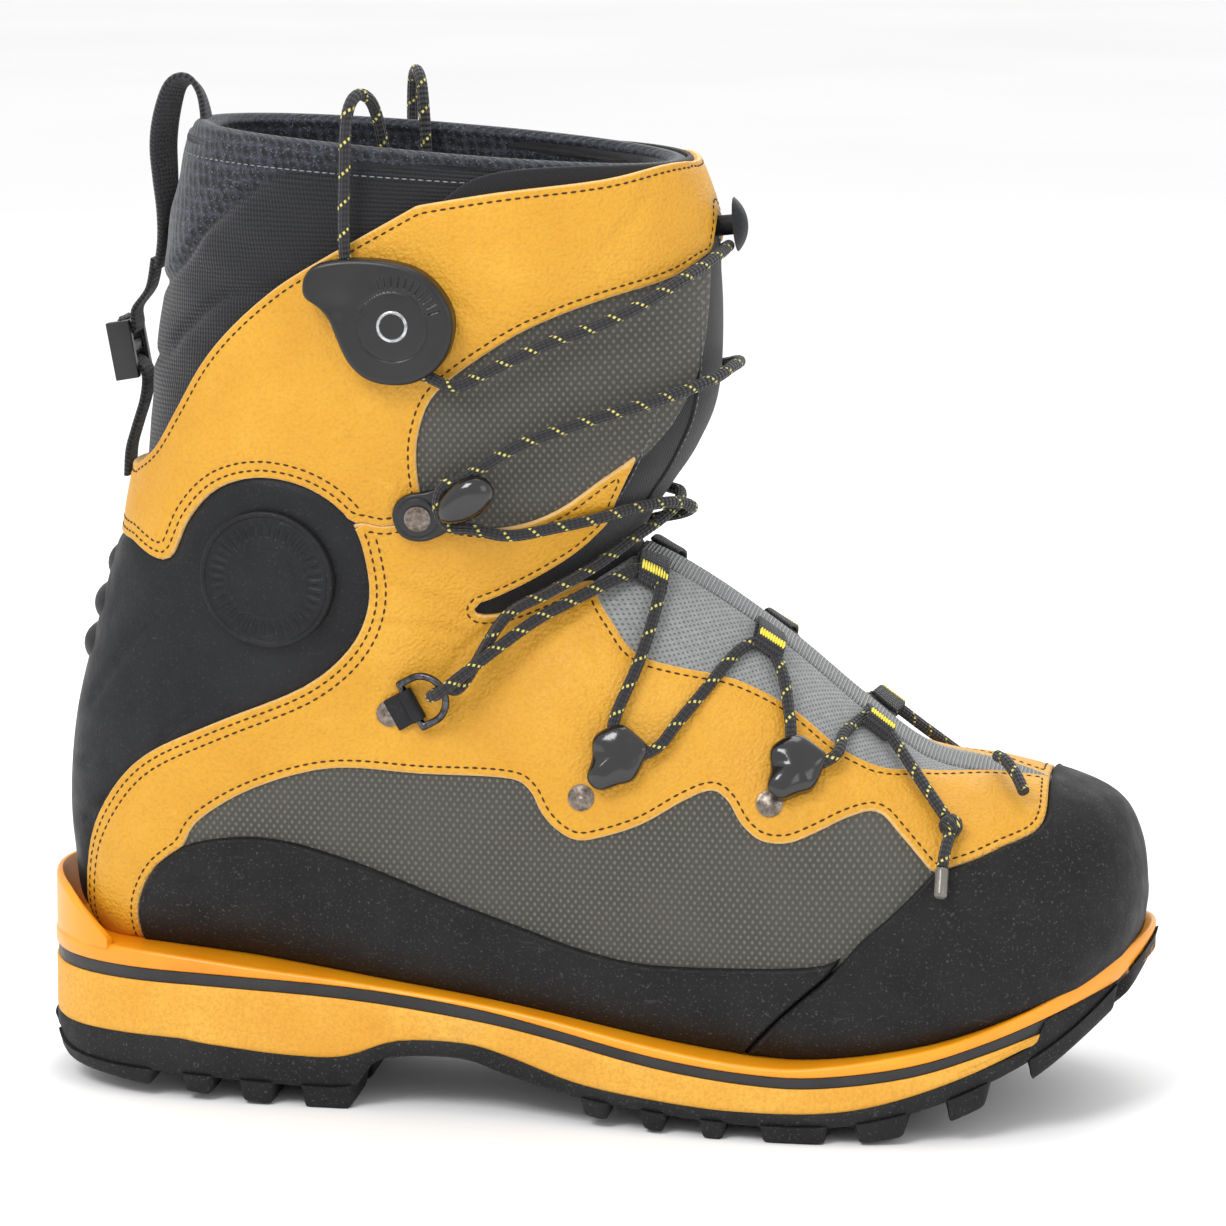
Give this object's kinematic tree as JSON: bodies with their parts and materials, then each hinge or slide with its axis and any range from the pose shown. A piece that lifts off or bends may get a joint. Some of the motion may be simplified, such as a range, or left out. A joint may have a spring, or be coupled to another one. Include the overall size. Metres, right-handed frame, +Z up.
{
  "type": "mountaineering boot",
  "caption": "Double mountaineering boot with stiff crampon-ready sole, leather and fabric shell, removable inner boot, and swivelling lace hardware.",
  "frame": {"origin": "on the ground under the middle of the boot's bounding box", "axes": "+X towards the toe, +Z up, -Y the lateral (outer) side of this right boot"},
  "size_m": [0.336, 0.1192, 0.3063],
  "materials": {
    "yellow_leather": "full-grain, waxed",
    "orange_tpu": "satin moulded",
    "yellow_foam": "speckled foam",
    "black_rubber": "fine matte grain",
    "black_plastic": "satin moulded",
    "gloss_black_plastic": "polished moulding",
    "grey_weave": "ballistic weave with raised dots",
    "grey_ribbed_fabric": "cross-ribbed stretch fabric",
    "grey_dotted_mesh": "perforated stretch fabric",
    "black_fabric": "woven lining",
    "charcoal_mesh": "foam-backed air mesh",
    "black_webbing": "flat woven tape",
    "lace_braid": "round braid with pale yellow flecks",
    "gunmetal": "antique satin",
    "bright_steel": "satin",
    "dark_wire": "dark plated",
    "fibreboard": "pressed fibre",
    "composite": "glass-filled nylon",
    "clear_plastic": "shrunk sleeve"
  },
  "bodies": {
    "shell": {"outsole": "black_rubber", "midsole_wedge": "yellow_foam", "midsole_stripe": "black_plastic", "welt": "orange_tpu", "heel_fin": "orange_tpu", "shank": "composite", "lasting_board": "fibreboard", "shell_lining": "black_fabric", "shell_gusset": "black_fabric", "instep_ribbed_cover": "grey_ribbed_fabric", "instep_side_mesh": "grey_dotted_mesh", "instep_webbing": "black_webbing", "side_panel_lateral": "grey_weave", "side_panel_medial": "grey_weave", "quarter_lateral": "yellow_leather", "quarter_medial": "yellow_leather", "cuff_lateral": "yellow_leather", "cuff_medial": "yellow_leather", "cuff_panel_lateral": "grey_weave", "cuff_panel_medial": "grey_weave", "side_rand": "black_rubber", "toe_cap": "black_rubber", "heel_counter": "black_plastic", "heel_bellows": "black_rubber", "ankle_discs": "black_plastic", "inner_boot": "charcoal_mesh", "inner_tongue": "charcoal_mesh", "footbed": "charcoal_mesh", "pull_loop": "black_webbing", "rear_strap_upper": "black_webbing", "rear_strap_lower": "black_webbing", "lock_rivets": "bright_steel", "hook_rivets": "gunmetal", "ring_keepers": "black_webbing", "lace_loops_lateral": "gloss_black_plastic", "lace_loops_medial": "gloss_black_plastic", "rivets_lateral": "gunmetal", "rivets_medial": "gunmetal", "front_keeper": "black_rubber", "lace_collar_run": "lace_braid", "lace_main_run": "lace_braid", "lace_knots": "lace_braid", "lace_aglets": "clear_plastic", "toe_lace": "lace_braid"},
    "lace_lock_lateral": {"lace_lock_lateral": "black_plastic"},
    "lace_lock_medial": {"lace_lock_medial": "black_plastic"},
    "cuff_hook_lateral": {"cuff_hook_lateral": "gloss_black_plastic"},
    "cuff_hook_medial": {"cuff_hook_medial": "gloss_black_plastic"},
    "d_ring_lateral": {"d_ring_lateral": "dark_wire"},
    "d_ring_medial": {"d_ring_medial": "dark_wire"},
    "rear_buckle": {"rear_buckle": "black_plastic"}
  },
  "joints": [
    {"name": "lace_lock_lateral_turn", "type": "hinge", "parent": "shell", "child": "lace_lock_lateral", "pos_m": [-0.051, -0.0502, 0.238], "axis": [0, -1, 0], "range_deg": [-15, 15], "deforming": ["lace_collar_run"]},
    {"name": "lace_lock_medial_turn", "type": "hinge", "parent": "shell", "child": "lace_lock_medial", "pos_m": [-0.051, 0.0502, 0.238], "axis": [0, 1, 0], "range_deg": [-15, 15], "deforming": ["lace_collar_run"]},
    {"name": "cuff_hook_lateral_turn", "type": "hinge", "parent": "shell", "child": "cuff_hook_lateral", "pos_m": [-0.0458, -0.0462, 0.1814], "axis": [0.0685, -0.9792, -0.1908], "range_deg": [-12, 12], "deforming": ["lace_main_run"]},
    {"name": "cuff_hook_medial_turn", "type": "hinge", "parent": "shell", "child": "cuff_hook_medial", "pos_m": [-0.0458, 0.0462, 0.1814], "axis": [0.0685, 0.9792, -0.1908], "range_deg": [-12, 12], "deforming": ["lace_main_run"]},
    {"name": "d_ring_lateral_lift", "type": "hinge", "parent": "shell", "child": "d_ring_lateral", "pos_m": [-0.04902, -0.04254, 0.1239], "axis": [0.4943, -0.0178, -0.8691], "range_deg": [-8, 55], "deforming": ["lace_main_run"]},
    {"name": "d_ring_medial_lift", "type": "hinge", "parent": "shell", "child": "d_ring_medial", "pos_m": [-0.04902, 0.04254, 0.1239], "axis": [-0.4943, -0.0178, 0.8691], "range_deg": [-8, 55], "deforming": ["lace_main_run"]},
    {"name": "rear_buckle_swing", "type": "hinge", "parent": "shell", "child": "rear_buckle", "pos_m": [-0.1425, 0, 0.2295], "axis": [0, 1, 0], "range_deg": [0, 35], "deforming": ["rear_strap_lower"]}
  ]
}
